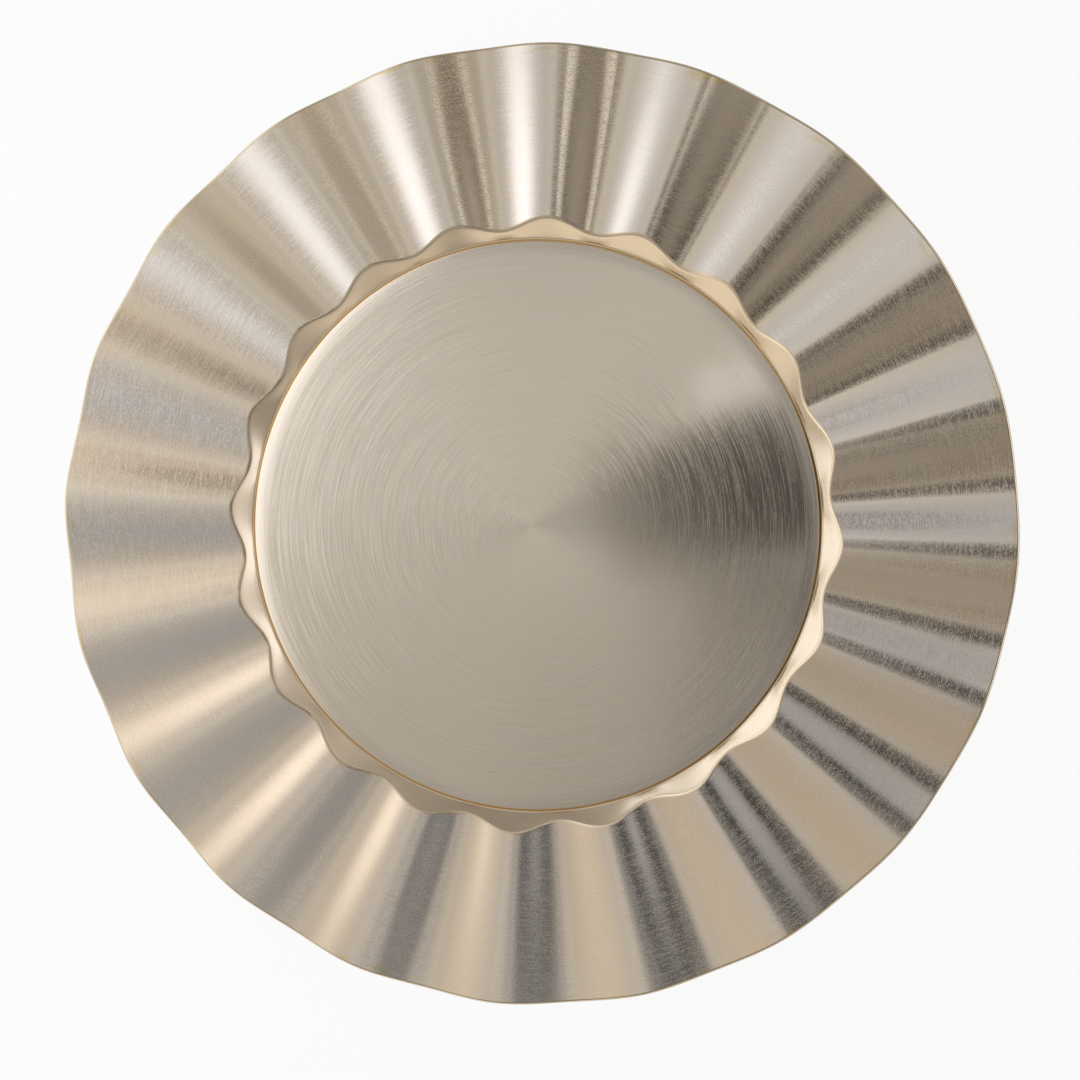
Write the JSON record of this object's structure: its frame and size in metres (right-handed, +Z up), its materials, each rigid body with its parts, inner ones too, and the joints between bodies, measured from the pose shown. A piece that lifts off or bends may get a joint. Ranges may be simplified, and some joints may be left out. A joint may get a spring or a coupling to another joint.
{
  "type": "charger plate",
  "caption": "Round charger plate with a flat brushed well, a scalloped cove and a ruffled rim, made to lie under a dinner plate.",
  "frame": {"origin": "middle of the foot ring, on the table", "axes": "+Z up along the plate's axis, +X through one ridge of the ruffle"},
  "size_m": [0.33, 0.33, 0.0204],
  "materials": {
    "gold_lacquer": "satin gold lacquer on moulded plastic",
    "brushed_foil": "champagne foil, brushed in circles",
    "rim_foil": "champagne foil, brushed in circles"
  },
  "bodies": {
    "root": {"plate_moulding": "gold_lacquer", "well_foil": "brushed_foil", "rim_foil": "rim_foil"}
  },
  "joints": []
}
